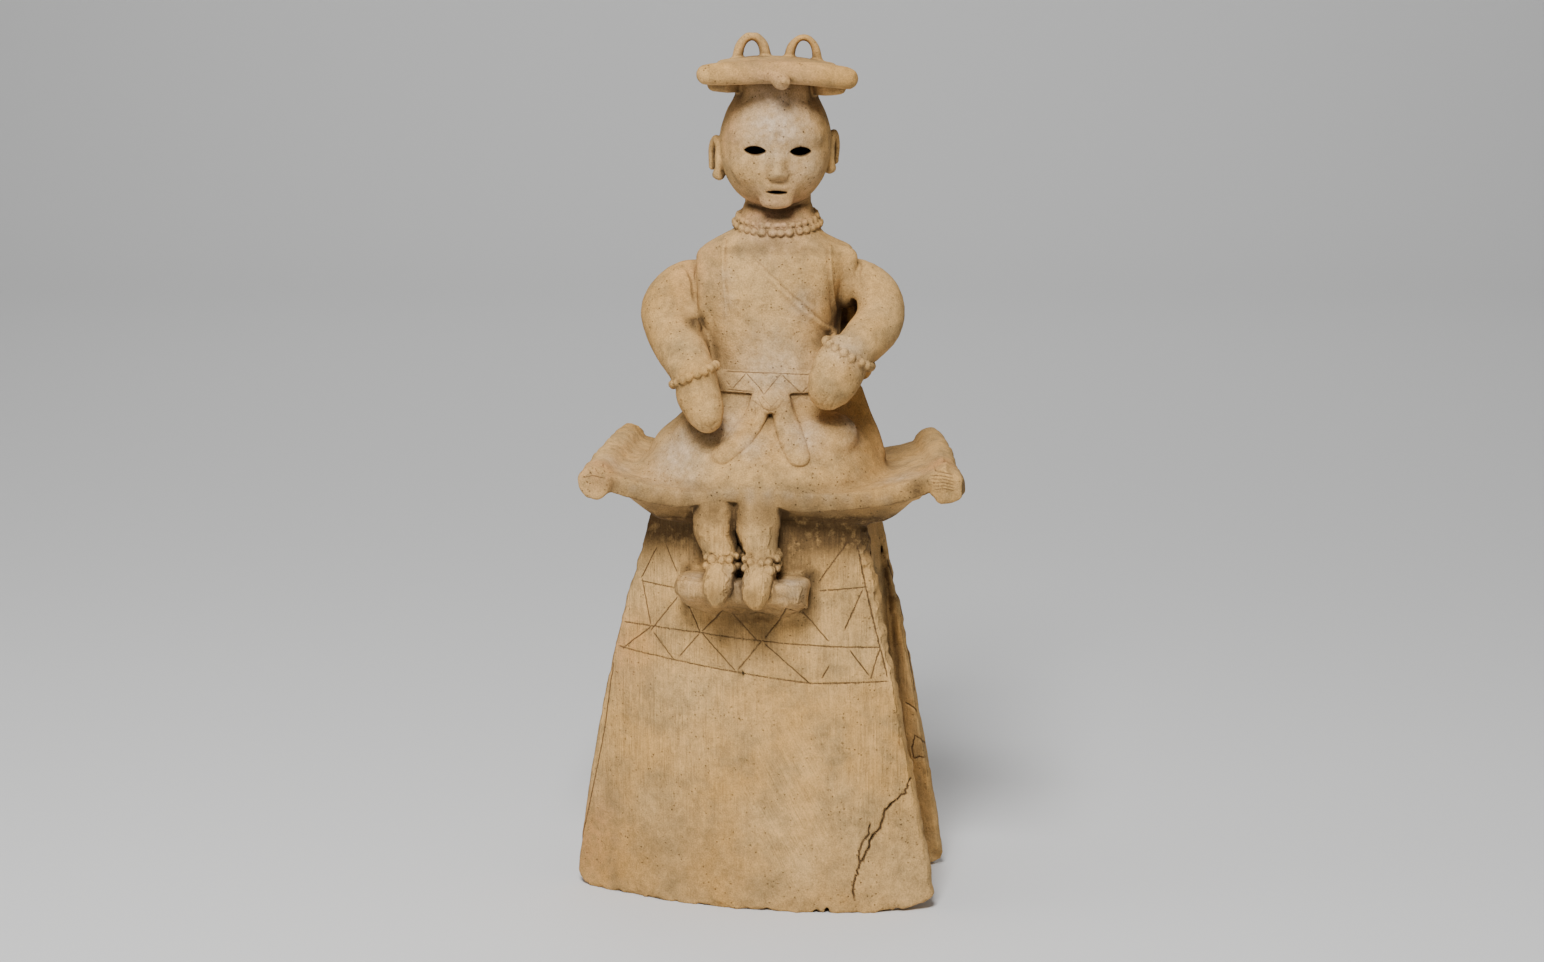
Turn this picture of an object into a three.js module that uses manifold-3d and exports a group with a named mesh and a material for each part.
// A seated haniwa: a hollow fired-clay figure on a stool with rolled ends, made in one piece
// with its tall pedestal. Millimetres, +Z up, the figure faces -Y and its left is at +X.
// The upper figure is turned a few degrees from the pedestal, as the hand-built original is.
import * as THREE from 'three';
import { mergeVertices } from 'three/addons/utils/BufferGeometryUtils.js';
import Module from 'manifold-3d';

const wasm = await Module();
wasm.setup();

// ---- driving dimensions ----
const WALL = 12;                       // clay thickness of boards and body
const UPPER_TURN = 10;                 // degrees that seat and torso are turned about +Z
const HEAD_TURN = 15;                  // degrees that the head is turned about +Z
const HEAD_LEAN = 1.5;                 // degrees that the head leans towards +X

const PEDESTAL_TOP = 318;
const FRONT_BOARD = { half: 150, taper: 0.155, flare: 0.000165, edge: [60, 48], bulge: [37, 27], sway: 4.5 };
const REAR_BOARD = { half: 130, taper: 0.133, flare: 0.000142, edge: [66, 46], bulge: [30, 24], sway: 0 };
const SIDE_WALL = { half: 98, taper: 0.07 };
const CORNER_LEFT = { run: 20, rise: 15 };
const CORNER_RIGHT = { run: 52, rise: 15 };
const CORNER_REAR = { run: 22, rise: 16 };

const SEAT = { depth: 94, low: 336, dish: 21, reach: 136, steepness: 3.2, plate: 15, keel: 17, slope: 24 };
const SEAT_ROLL = { z: 345, radius: 11.5, reach: 97 };
const ROLL_RIGHT = { front: -132, rear: -127 };     // the roll on the figure's right
const ROLL_LEFT = { front: 144, rear: 121 };
const LEG_ARCH = { x: -19, half: 34, rise: 8 };

const SHOULDER = { x: 66, z: 486, radius: 22 };
const WRIST_RADIUS = 16.5;
const BEAD = 4;
const BEAD_WAIST = 0.62;               // a string of beads between two beads, as a share of a bead
const NECK_RADIUS = 27;
const NECK_BORE = 15;
const NECK_BORE_TOP = 576;              // where the neck's bore has passed into the hollow head

const HEAD = { x: 3, z: 600, half: 42.5, depth: 46, height: 50, fullness: 0.08, chin: 6 };
const NOSE = { z: 585, length: 24, top: 2, base: 5, slant: 0.2 };
const EYE = { x: 17.5, z: 597, wide: 17, high: 7 };
const MOUTH = { z: 566, wide: 18, high: 3.6 };
const EAR = { wide: 9, high: 14, y: 5.6, z: 587, rim: 4.2 };
const PLATE = { x: 1, front: 62, rear: 52, waist: 48, reach: 50, z: 657, thick: 12, roll: 8.7, camber: 5 };
const UNDER_PLATE = { reach: 38, y: 4, z: 646, thick: 13 };
const KNOT_RADIUS = 8;
const LOOP = { spread: 20.3, half: 11.5, base: 662, rise: 20.5, wide: 2.6, deep: 4.5, y: 8 };

const LEGS = { x: -4, spread: 17.3, radius: 17.3 };
const FOOTREST = { left: -49, right: 48, front: -110, back: -70, top: 268, lip: 252, root: 238 };

// ---- small helpers ----
const lerp = THREE.MathUtils.lerp;
const smooth = (value) => THREE.MathUtils.smoothstep(value, 0, 1);
const signedPower = (value, power) => Math.sign(value) * Math.abs(value) ** power;

const MERGE_DISTANCE = 1e-3;

function solid(geometry) {
  const plain = geometry.clone();
  plain.deleteAttribute('normal');
  plain.deleteAttribute('uv');
  const merged = mergeVertices(plain, MERGE_DISTANCE);
  const vertProperties = Float32Array.from(merged.attributes.position.array);
  const triVerts = Uint32Array.from(merged.index.array);
  return new wasm.Manifold(new wasm.Mesh({ numProp: 3, vertProperties, triVerts }));
}

function unite(geometries) {
  return geometries.map(solid).reduce((sum, part) => sum.add(part));
}

function deform(geometry, place) {
  const position = geometry.attributes.position;
  for (let i = 0; i < position.count; i++) {
    position.setXYZ(i, ...place(position.getX(i), position.getY(i), position.getZ(i)));
  }
  return geometry;
}

// A standing form whose level sections are superellipses.
// Each row is [z, centre x, centre y, half width, half depth, exponent].
function loft(rows, around) {
  const spans = rows.length - 1;
  const form = new THREE.CylinderGeometry(1, 1, 1, around, spans).rotateX(Math.PI / 2);
  return deform(form, (x, y, t) => {
    const [z, cx, cy, half, depth, exponent] = rows[Math.round((t + 0.5) * spans)];
    const along = signedPower(x, 2 / exponent);
    const across = signedPower(y, 2 / exponent);
    return [cx + half * along, cy + depth * across, z];
  });
}

// A round or oval bar along a smooth path; each stop is [x, y, z, radius].
function limb(stops, sides, steps, flatten = 1) {
  const path = new THREE.CatmullRomCurve3(stops.map(([x, y, z]) => new THREE.Vector3(x, y, z)));
  const spans = stops.length - 1;
  const bar = new THREE.CylinderGeometry(1, 1, 1, sides, steps).rotateX(Math.PI / 2);
  const frames = Array.from({ length: steps + 1 }, (_, i) => {
    const t = i / steps;
    const along = path.getTangent(t);
    const side = new THREE.Vector3(0, 1, 0).cross(along).normalize();
    const across = along.clone().cross(side);
    const span = Math.min(Math.floor(t * spans), spans - 1);
    const radius = lerp(stops[span][3], stops[span + 1][3], t * spans - span);
    return { origin: path.getPoint(t), side, across, radius };
  });
  return deform(bar, (x, y, t) => {
    const { origin, side, across, radius } = frames[Math.round((t + 0.5) * steps)];
    const point = origin.clone().addScaledVector(side, x * radius);
    return point.addScaledVector(across, y * radius * flatten).toArray();
  });
}

function blob(centre, size, tilt = [0, 0, 0], around = 12, rows = 8) {
  return new THREE.SphereGeometry(1, around, rows).scale(...size)
    .rotateX(tilt[0]).rotateY(tilt[1]).rotateZ(tilt[2]).translate(...centre);
}

// A ring of touching beads: a torus whose tube narrows at every second section.
function beadRing(radius, bead, count) {
  const ring = new THREE.TorusGeometry(radius, bead, 4, count * 2);
  const step = Math.PI / count;
  return deform(ring, (x, y, z) => {
    const girth = Math.round(Math.atan2(y, x) / step) % 2 ? BEAD_WAIST : 1;
    const reach = Math.hypot(x, y);
    const swollen = radius + (reach - radius) * girth;
    return [x * swollen / reach, y * swollen / reach, z * girth];
  });
}

// ---- pedestal: two flaring curved boards joined by inset side walls ----
const boardHalf = (board, z) => board.half - board.taper * z - board.flare * z * z;
const boardBulge = (board, z) => lerp(...board.bulge, z / PEDESTAL_TOP);
const boardEdge = (board, z) => lerp(...board.edge, z / PEDESTAL_TOP);
const boardMiddle = (board, z) => -1 - board.sway * Math.sin(Math.PI * z / PEDESTAL_TOP);
const boardFace = (board, x, z) => {
  const across = (x - boardMiddle(board, z)) / boardHalf(board, z);
  return boardEdge(board, z) + boardBulge(board, z) * (1 - across ** 2);
};
const wallHalf = (z) => SIDE_WALL.half - SIDE_WALL.taper * z;

function cornerLift(corner, distance) {
  if (distance >= corner.run) return 0;
  return corner.rise * (1 - Math.sqrt(1 - (1 - distance / corner.run) ** 2));
}

function makeBoard(board, side, leftCorner, rightCorner) {
  const slab = new THREE.BoxGeometry(2, 1, 1, 12, 1, 5);
  return deform(slab, (x, y, t) => {
    const across = Math.sin(x * Math.PI / 2);
    const corner = across < 0 ? leftCorner : rightCorner;
    const foot = cornerLift(corner, (1 - Math.abs(across)) * board.half);
    const z = lerp(foot, PEDESTAL_TOP, t + 0.5);
    const width = boardMiddle(board, z) + across * boardHalf(board, z);
    const inset = side * y > 0 ? 0 : WALL;
    return [width, side * (boardFace(board, width, z) - inset), z];
  });
}

// The space between the boards, out to the given half width, kept the given margin inside them.
function makeCore(halfAt, margin, bottom, top) {
  const block = new THREE.BoxGeometry(2, 1, 1, 6, 1, 4);
  return deform(block, (x, y, t) => {
    const z = lerp(bottom, top, t + 0.5);
    const width = x * halfAt(z);
    const board = y < 0 ? FRONT_BOARD : REAR_BOARD;
    return [width, Math.sign(y) * (boardFace(board, width, z) - margin), z];
  });
}

function makeFootrest() {
  const shelf = new THREE.BoxGeometry(1, 1, 1);
  return deform(shelf, (x, y, z) => {
    const under = y < 0 ? FOOTREST.lip : FOOTREST.root;
    return [
      lerp(FOOTREST.left, FOOTREST.right, x + 0.5),
      lerp(FOOTREST.front, FOOTREST.back, y + 0.5),
      z > 0 ? FOOTREST.top : under,
    ];
  });
}

function makeLeg(side) {
  const x = LEGS.x + side * LEGS.spread;
  const r = LEGS.radius;
  const shin = limb([
    [x, -78, 338, r],
    [x, -86, 312, r],
    [x + 2, -94, 288, r - 2],
    [x + 3, -97, 279, r - 4],
  ], 12, 4);
  const foot = limb([
    [x + 4, -98, 284, 10],
    [x + 4, -103, 277, 13],
    [x + 4, -112, 266, 12],
    [x + 4, -117, 257, 9],
    [x + 4, -119, 253, 4],
  ], 10, 6);
  const anklet = beadRing(r - 3, 4.5, 8).scale(1, 1, 1.3).rotateX(-0.25).translate(x + 3, -96, 282);
  return [shin, foot, anklet];
}

// ---- seat: a dished plank on a keel, its ends rolled over ----
const seatTop = (x) => SEAT.low + SEAT.dish * Math.abs(x / SEAT.reach) ** SEAT.steepness;

// x at a share of the seat's length from its right end, at the given depth.
function seatX(share, depth) {
  const back = depth / (2 * SEAT.depth) + 0.5;
  const right = lerp(ROLL_RIGHT.front, ROLL_RIGHT.rear, back);
  const left = lerp(ROLL_LEFT.front, ROLL_LEFT.rear, back);
  return lerp(right, left, share);
}

// The front rim is arched up over the legs.
function legArch(x) {
  return LEG_ARCH.rise * Math.exp(-(((x - LEG_ARCH.x) / LEG_ARCH.half) ** 4));
}

function makeSeat() {
  const plank = new THREE.BoxGeometry(1, 2, 1, 12, 6, 1);
  const keelEnd = 0.17;
  return deform(plank, (u, v, t) => {
    const depth = signedPower(v, 0.8) * SEAT.depth;
    const x = seatX(u + 0.5, depth);
    const top = seatTop(x);
    if (t > 0) return [x, depth, top];
    const inward = smooth((SEAT.depth - Math.abs(depth)) / SEAT.slope);
    const middle = smooth((0.5 - Math.abs(u)) / keelEnd);
    const arch = depth < 0 ? legArch(x) * (1 - inward) : 0;
    return [x, depth, top - SEAT.plate - SEAT.keel * inward * middle + arch];
  });
}

function makeSeatRoll({ front, rear }) {
  const { z, radius, reach } = SEAT_ROLL;
  const tip = radius * 0.6;
  return limb([
    [front, -reach - 3, z - 3, tip],
    [front, -reach + 3, z - 1, radius],
    [(front + rear) / 2, 0, z, radius * 0.95],
    [rear, reach - 5, z, radius],
    [rear, reach, z, tip],
  ], 10, 6);
}

// ---- body ----
function makeBody() {
  return loft([
    [326, -6, -10, 96, 76, 2.3],
    [343, -7, -14, 99, 81, 2.3],
    [356, -6, -14, 93, 75, 2.25],
    [369, -5, -12, 87, 66, 2.2],
    [381, -2, -9, 76, 57, 2.15],
    [393, 0, -5, 66, 51, 2.1],
    [406, 1, -2, 61, 47, 2.1],
    [408, 1, -1, 64, 51, 2.1],
    [425, 1, 0, 61.5, 47.5, 2.1],
    [428, 1, 0, 58, 44, 2.15],
    [450, -1, 0, 56, 45, 2.2],
    [478, -1, 0, 58, 46, 2.2],
    [498, 0, 0, 62, 44, 2.15],
    [511, 0, 0, 61, 41, 2.1],
    [522, 1, 0, 55, 37, 2.05],
    [530, 2, 0, 44, 33, 2],
    [535, 3, 0, 34, 30, 2],
    [540, 3, 2, 28, 28, 2],
    [562, 3, 4, NECK_RADIUS, NECK_RADIUS, 2],
  ], 24);
}

function makeSash() {
  return [
    blob([2, -54, 396], [13, 6, 12]),
    limb([
      [-2, -52, 396, 5],
      [-10, -61, 385, 7],
      [-22, -74, 370, 8.5],
      [-32, -83, 356, 7],
    ], 7, 6, 0.8),
    limb([
      [6, -52, 396, 5],
      [14, -62, 384, 7],
      [23, -74, 370, 8.5],
      [30, -83, 356, 7],
    ], 7, 6, 0.8),
  ];
}

function makeArm(side, stops, hand) {
  const [x, y, z] = stops.at(-1);
  const bracelet = beadRing(WRIST_RADIUS + 1, 3, 9)
    .rotateX(-0.95).rotateZ(side * 0.35).translate(x, y, z);
  return [limb(stops, 14, 9), bracelet, blob(...hand, 9, 6)];
}

// Stops from the shoulder's root to the wrist, and each hand's centre, size and tilt.
const RIGHT_ARM = [
  [-44, 0, SHOULDER.z - 3, SHOULDER.radius - 2],
  [-SHOULDER.x, -2, SHOULDER.z, SHOULDER.radius],
  [-81, -8, 470, SHOULDER.radius],
  [-76, -26, 451, 20.5],
  [-66, -48, 436, 19],
  [-55, -73, 423, WRIST_RADIUS],
];
const LEFT_ARM = [
  [44, 0, SHOULDER.z - 3, SHOULDER.radius - 2],
  [SHOULDER.x + 1, -2, SHOULDER.z, SHOULDER.radius],
  [83, -8, 472, SHOULDER.radius],
  [83, -22, 461, 20],
  [76, -42, 452, 18.5],
  [66, -66, 443, WRIST_RADIUS],
];
const RIGHT_HAND = [[-48, -82, 404], [17, 11, 27], [-0.45, -0.42, 0]];
const LEFT_HAND = [[55, -79, 421], [17, 11, 27], [-0.42, 0.5, 0]];

// The lump on the figure's left hip, where the sash is tied.
function makeHipKnob() {
  return blob([69, 6, 419], [9, 9, 9], [0, 0, 0], 8, 6);
}

function makeNecklace() {
  return beadRing(NECK_RADIUS + 6, BEAD, 16).rotateX(0.14).translate(HEAD.x, 0, 534);
}

// ---- head ----
function makeHead() {
  const egg = new THREE.SphereGeometry(1, 18, 11).rotateX(Math.PI / 2);
  return deform(egg, (x, y, z) => {
    const full = Math.max(1 - z * z, 1e-6) ** -HEAD.fullness;
    const chin = -HEAD.chin * Math.max(0, -z) ** 2;
    return [HEAD.x + x * HEAD.half * full, chin + y * HEAD.depth * full, HEAD.z + z * HEAD.height];
  });
}

function makeNose() {
  const wedge = new THREE.CylinderGeometry(NOSE.top, NOSE.base, NOSE.length, 6, 1).rotateX(Math.PI / 2);
  return wedge.rotateX(-NOSE.slant).translate(HEAD.x, -HEAD.depth - 2, NOSE.z);
}

// A C-shaped rim open towards the cheek, with a round stud at the lobe.
function makeEar(side) {
  const { wide, high, y, z, rim } = EAR;
  const x = HEAD.x + side * (HEAD.half + 2);
  const turns = [-0.45, -0.15, 0.2, 0.55, 0.9, 1.2].map((turn) => turn * Math.PI);
  const stops = turns.map((turn) => [x, y - wide * Math.cos(turn), z + high * Math.sin(turn), rim]);
  const stud = blob([x - side * 2, y - 5, z - high + 1], [5, 5, 5], [0, 0, 0], 7, 5);
  return [limb(stops, 6, 9), stud];
}

function makeSlot({ wide, high }, x, z) {
  const outline = new THREE.Shape();
  outline.moveTo(-wide / 2, 0);
  outline.quadraticCurveTo(0, -high, wide / 2, 0);
  outline.quadraticCurveTo(0, high, -wide / 2, 0);
  const inner = 10;
  const outer = 66;
  const settings = { depth: outer - inner, bevelEnabled: false, curveSegments: 4 };
  return new THREE.ExtrudeGeometry(outline, settings).rotateX(Math.PI / 2).translate(x, -inner, z);
}

// The flat board of hair: waisted, cambered, drooping to the rear, rolled at front and rear.
function makePlate() {
  const { x: middle, front, rear, waist, reach, z: height, thick, camber } = PLATE;
  const board = deform(new THREE.BoxGeometry(2, 2, 1, 6, 6, 1), (u, v, t) => {
    const half = waist + ((v < 0 ? front : rear) - 6 - waist) * v * v;
    const rise = camber * (1 - u * u) - 1 - 7 * Math.max(0, v) ** 2;
    return [middle + u * half, v * reach, height + rise + t * thick];
  });
  const under = deform(new THREE.BoxGeometry(2, 2, 1, 1, 2, 1), (u, v, t) => {
    const half = v < 0 ? waist + 7 : waist - 2;
    return [
      middle + u * half,
      UNDER_PLATE.y + v * UNDER_PLATE.reach,
      UNDER_PLATE.z + t * UNDER_PLATE.thick,
    ];
  });
  const knot = new THREE.OctahedronGeometry(KNOT_RADIUS).translate(middle + 2, -reach - 6, height - 5);
  return [board, under, makePlateRoll(-reach, front, height), makePlateRoll(reach, rear, height - 6), knot];
}

function makePlateRoll(y, half, z) {
  const { x, roll } = PLATE;
  return limb([
    [x - half, y, z - 1, roll * 0.5],
    [x - half + 5, y, z, roll],
    [x, y, z + 2, roll],
    [x + half - 5, y, z, roll],
    [x + half, y, z - 1, roll * 0.5],
  ], 10, 8);
}

function makeLoop(side) {
  const { spread, half, base, rise, wide, deep, y } = LOOP;
  const stops = Array.from({ length: 7 }, (_, i) => {
    const turn = Math.PI * i / 6;
    const x = PLATE.x + side * spread - half * Math.cos(turn);
    return [x, y, base + rise * Math.sin(turn) ** 0.8, wide];
  });
  return limb(stops, 6, 9, deep / wide);
}

// ---- hollow ----
function makeHollow() {
  const pedestal = makeCore((z) => wallHalf(z) - WALL, WALL, -5, PEDESTAL_TOP + 6);
  const torso = turnUpper(loft([
    [312, 0, 0, 62, 48, 2.2],
    [345, -3, -8, 74, 58, 2.2],
    [369, -3, -8, 68, 49, 2.2],
    [393, 0, -4, 52, 38, 2.1],
    [425, 1, 0, 46, 32, 2.1],
    [478, 1, 0, 46, 33, 2.1],
    [498, 1, 0, 45, 31, 2.1],
    [511, 1, 0, 38, 27, 2.1],
    [523, 2, 0, 24, 20, 2],
    [534, 3, 0, NECK_BORE + 0.5, NECK_BORE, 2],
    [NECK_BORE_TOP, 3, 0, NECK_BORE, NECK_BORE, 2],
  ], 16));
  const room = [HEAD.half - WALL, HEAD.depth - WALL, HEAD.height - WALL];
  const head = turnHead(blob([HEAD.x, 0, HEAD.z + 2], room, [0, 0, 0], 14, 9));
  return [pedestal, torso, head];
}

const turnUpper = (geometry) => geometry.rotateZ(THREE.MathUtils.degToRad(UPPER_TURN));

function turnHead(geometry) {
  return geometry.translate(-HEAD.x, 0, -HEAD.z).rotateY(THREE.MathUtils.degToRad(HEAD_LEAN))
    .translate(HEAD.x, 0, HEAD.z).rotateZ(THREE.MathUtils.degToRad(HEAD_TURN));
}

function makeFigure() {
  const pedestal = [
    makeBoard(FRONT_BOARD, -1, CORNER_LEFT, CORNER_RIGHT),
    makeBoard(REAR_BOARD, 1, CORNER_REAR, CORNER_REAR),
    makeCore(wallHalf, WALL / 2, 0, PEDESTAL_TOP),
    makeFootrest(),
    ...makeLeg(-1),
    ...makeLeg(1),
  ];
  const upper = [
    makeSeat(),
    makeSeatRoll(ROLL_RIGHT),
    makeSeatRoll(ROLL_LEFT),
    makeBody(),
    ...makeSash(),
    ...makeArm(-1, RIGHT_ARM, RIGHT_HAND),
    ...makeArm(1, LEFT_ARM, LEFT_HAND),
    makeHipKnob(),
    makeNecklace(),
  ].map(turnUpper);
  const head = [
    makeHead(),
    makeNose(),
    ...makeEar(-1),
    ...makeEar(1),
    ...makePlate(),
    makeLoop(-1),
    makeLoop(1),
  ].map(turnHead);
  const slots = [
    makeSlot(EYE, HEAD.x - EYE.x, EYE.z),
    makeSlot(EYE, HEAD.x + EYE.x, EYE.z),
    makeSlot(MOUTH, HEAD.x, MOUTH.z),
  ].map(turnHead);
  return unite([...pedestal, ...upper, ...head]).subtract(unite([...makeHollow(), ...slots]));
}

function toGeometry(manifold) {
  const { vertProperties, triVerts } = manifold.getMesh();
  const geometry = new THREE.BufferGeometry();
  geometry.setAttribute('position', new THREE.BufferAttribute(vertProperties, 3));
  geometry.setIndex(new THREE.BufferAttribute(triVerts, 1));
  return geometry;
}

const geometry = toGeometry(makeFigure());
geometry.computeBoundingBox();
const { min, max } = geometry.boundingBox;
geometry.translate(-(min.x + max.x) / 2, -(min.y + max.y) / 2, -min.z);
geometry.computeVertexNormals();

const clay = new THREE.MeshStandardMaterial({ color: 0xc9a27a, roughness: 0.9, metalness: 0 });
const figure = new THREE.Mesh(geometry, clay);
figure.name = 'haniwa_figure';

const group = new THREE.Group();
group.add(figure);
export default group;
